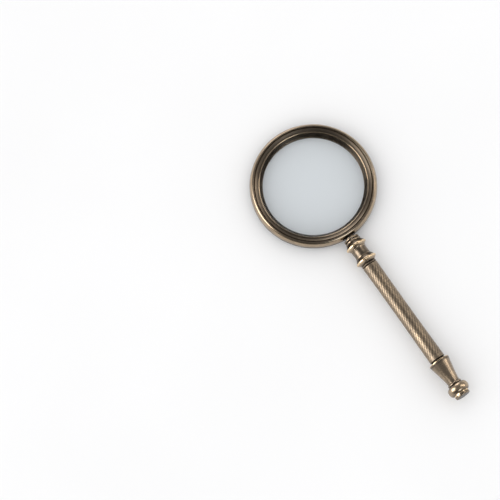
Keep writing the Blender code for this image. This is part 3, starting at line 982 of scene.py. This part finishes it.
def build_handle():
    bead_brass = antique_brass("bead brass", 0.38, lines=5.0)
    collar_brass = antique_brass("collar brass", 0.76, lines=5.0, marks=0.5, unevenness=0.3)
    barrel_brass = antique_brass("barrel brass", 0.42, lines=4.0, unevenness=0.5)
    grip_brass = antique_brass(
        "grip brass", 0.60, lines=3.0, marks=0.4, unevenness=0.7, dullness=0.17
    )
    ferrule_brass = antique_brass(
        "ferrule brass", 0.58, lines=4.0, marks=0.6, unevenness=0.6, dullness=0.05
    )
    # Painted shade: the reeded ring under the lower collar and the sunk waist ring are made darker, partly
    # patina and partly the shade that falls under and between the parts.
    dark_brass_and_painted_shade = antique_brass("dark brass and painted shade", 0.20, lines=5.0)
    steel = rod_steel()

    for node, bore, body in (("stud_washer", STUD_BORE, "washer"), ("handle_crown", SPIGOT_BORE, "handle")):
        handle_piece(node, bead_outline(node, bore), bead_brass, body=body, joints=along(node))
    neck_end = across("neck_barrel")
    # Painted shade darkens the front slope of each collar.
    handle_piece(
        "upper_collar", collar_outline("upper_collar", across("handle_crown"), neck_end, UPPER_RISE),
        collar_brass, joints=along("upper_collar"), grime=front_of("upper_collar", UPPER_RISE),
    )
    handle_piece(
        "neck_barrel", neck_outline(), barrel_brass, fine_radius=STUD_BORE,
        relief=thread(STUD_BORE, along("neck_barrel")[0], STUD_HOLE_END, STUD_PITCH, TAPPED_DEPTH),
        joints=(along("upper_collar")[1], along("lower_collar")[0]),
    )
    handle_piece(
        "lower_collar", collar_outline("lower_collar", neck_end, across("grip_top_ring"), LOWER_RISE),
        collar_brass, joints=along("lower_collar"), grime=front_of("lower_collar", LOWER_RISE),
    )
    handle_piece(
        "grip_top_ring", bead_outline("grip_top_ring", SPIGOT_BORE), dark_brass_and_painted_shade, segments=288,
        relief=reeds(across("grip_top_ring"), REED_COUNT, REED_DEPTH), joints=along("grip_top_ring"),
    )
    handle_piece(
        "grip_tube", grip_outline(), grip_brass, slot="knurled_brass", step=1.0, segments=192,
        relief=knurl(*along("grip_tube")), joints=along("grip_tube"),
    )
    handle_piece("waist_ring", waist_ring_outline(), dark_brass_and_painted_shade, joints=along("waist_ring")[1:])
    handle_piece("ferrule", ferrule_outline(), ferrule_brass, joints=along("ferrule")[1:])
    handle_piece(
        "pommel_bead", bead_outline("pommel_bead", ROD_BORE), bead_brass, joints=along("pommel_bead")
    )
    handle_piece("pommel", pommel_outline(), ferrule_brass, joints=along("pommel"))

    rod_end = along("tie_rod")[1]
    handle_piece(
        "tie_rod", rod_outline("tie_rod"), steel, slot="rod_steel", segments=48, fine_radius=ROD_RADIUS,
        relief=thread(ROD_RADIUS, rod_end - ROD_THREAD_LENGTH, rod_end, ROD_PITCH, ROD_THREAD_DEPTH),
    )
    handle_piece("end_washer", end_washer_outline(), steel, slot="rod_steel", body="cap_washer")
    # painted shade on the end cap's rounded end
    cap_start, cap_end = along("end_cap")
    handle_piece(
        "end_cap", end_cap_outline(), collar_brass, body="cap", fine_radius=ROD_BORE,
        relief=thread(ROD_BORE, cap_start, CAP_HOLE_END, ROD_PITCH, TAPPED_DEPTH),
        grime=lambda radius, height: fading(1.0, height - cap_end + CAP_PAINTED_SHADE_DEPTH, 0.5),
    )


# ------------------------------------------------------------------------------ stage and camera

CAMERA_AZIMUTH = math.radians(-34.41)
CAMERA_ELEVATION = math.radians(75.27)
CAMERA_DISTANCE = 3.2467
CAMERA_LENS = 300.0
RIGHTWARDS = Vector((math.cos(CAMERA_AZIMUTH), math.sin(CAMERA_AZIMUTH), 0.0))
AWAY = Vector((-math.sin(CAMERA_AZIMUTH), math.cos(CAMERA_AZIMUTH), 0.0))
CENTRE_RIGHT = 0.0496          # the lens lies this far right of and beyond what the camera faces
CENTRE_BEYOND = 0.0517
TARGET = Vector(CENTRE) - RIGHTWARDS * CENTRE_RIGHT - AWAY * CENTRE_BEYOND
UP = Vector((0.0, 0.0, 1.0))
REST_INSET = 0.6               # the far edge of the rim meets the table this far inside its bead


def build_camera():
    """A long lens, nearly straight above the glass."""
    data = bpy.data.cameras.new("camera")
    data.lens = CAMERA_LENS
    data.sensor_width = 36.0
    data.clip_start = 0.01
    camera = bpy.data.objects.new("camera", data)
    back = UP * math.sin(CAMERA_ELEVATION) - AWAY * math.cos(CAMERA_ELEVATION)
    camera.location = TARGET + back * CAMERA_DISTANCE
    camera.rotation_euler = (-back).to_track_quat("-Z", "Y").to_euler()
    bpy.context.collection.objects.link(camera)
    bpy.context.scene.camera = camera


def build_table():
    """A flat table that touches the far lower edge of the rim and the underside of the upper
    collar, so the glass lies on it as it would under its own weight."""
    collar_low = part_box("upper_collar")[0]
    collar_y = CENTRE[1] - (along("upper_collar")[0] + UPPER_RISE) * MM
    rim_y = CENTRE[1] + (BEAD_CENTRE - REST_INSET) * MM
    slope = (rim_low.z - collar_low.z) / (rim_y - collar_y)
    reach = 4.0
    ys = np.array([-reach, -reach, reach, reach])
    xs = np.array([-reach, reach, reach, -reach])
    heights = collar_low.z + slope * (ys - collar_y)
    mesh = bpy.data.meshes.new("table")
    mesh.from_pydata(np.stack((xs, ys, heights), axis=-1).tolist(), [], [(0, 1, 2, 3)])
    mesh.materials.append(table_top())
    table = bpy.data.objects.new("table", mesh)
    bpy.context.collection.objects.link(table)


def softbox(name, bearing, elevation, width, brightness, colour, on_metal=True):
    """A round soft light far away. The bearing runs clockwise from the camera's right, seen from
    above; the width is the angle that the light fills, and the brightness is its radiance. A light
    shapes either the metal or the shadows on the table, and none shows through the lens."""
    data = bpy.data.lights.new(name, "SUN")
    data.angle = math.radians(width)
    data.energy = brightness * TURN * (1 - math.cos(data.angle / 2))
    data.color = colour
    light = bpy.data.objects.new(name, data)
    bearing, elevation = math.radians(bearing), math.radians(elevation)
    flat = RIGHTWARDS * math.cos(bearing) - AWAY * math.sin(bearing)
    towards = flat * math.cos(elevation) + UP * math.sin(elevation)
    light.rotation_euler = towards.to_track_quat("Z", "Y").to_euler()
    light.visible_glossy = on_metal
    light.visible_diffuse = not on_metal
    light.visible_transmission = False
    bpy.context.collection.objects.link(light)


def build_lights():
    softbox("left softbox", 167, 28, 44, 5.0, (1.0, 0.97, 0.93))
    softbox("upper right softbox", 326, 49, 22, 3.5, (1.0, 0.94, 0.86))
    softbox("low right softbox", 340, 24, 22, 3.5, (1.0, 0.93, 0.84))
    softbox("window", 52, 32, 26, 4.5, (0.92, 0.97, 1.0))
    softbox("rear softbox", 246, 20, 38, 3.2, (1.0, 0.96, 0.92))
    softbox("table light", 140, 40, 80, 0.45, (1.0, 1.0, 1.0), on_metal=False)


def build_world():
    """A pale room, brightest low down and dimmed behind the camera. Light that spreads over the
    table comes from an even white."""
    world = bpy.data.worlds.new("studio")
    world.use_nodes = True
    bpy.context.scene.world = world
    tree = world.node_tree
    direction = add(tree, "ShaderNodeTexCoord").outputs["Generated"]
    rise = add(tree, "ShaderNodeSeparateXYZ", {0: direction}).outputs["Z"]
    glow = ramp(tree, rise, (
        (0.0, (0.62, 0.62, 0.62)),
        (0.22, (0.55, 0.55, 0.55)),
        (0.55, (0.38, 0.38, 0.38)),
        (1.0, (0.27, 0.27, 0.27)),
    ))
    behind = add(tree, "ShaderNodeVectorMath", {0: direction, 1: tuple(-AWAY)}, operation="DOT_PRODUCT")
    dimming = remapped(tree, behind.outputs["Value"], 0.35, 0.75, 1.0, 0.25)
    fill = add(tree, "ShaderNodeBackground", {"Color": (0.965, 0.965, 0.97, 1.0)})
    shown = connect(tree, tree.nodes["Background"], {"Color": glow, "Strength": dimming})
    diffuse = add(tree, "ShaderNodeLightPath").outputs["Is Diffuse Ray"]
    mixed = add(tree, "ShaderNodeMixShader", {0: diffuse, 1: shown.outputs[0], 2: fill.outputs[0]})
    connect(tree, tree.nodes["World Output"], {"Surface": mixed.outputs[0]})
    bpy.context.scene.view_settings.view_transform = "Standard"


def main():
    build_camera()
    build_table()
    build_lights()
    build_world()
    build_head()
    build_stud()
    build_handle()


main()
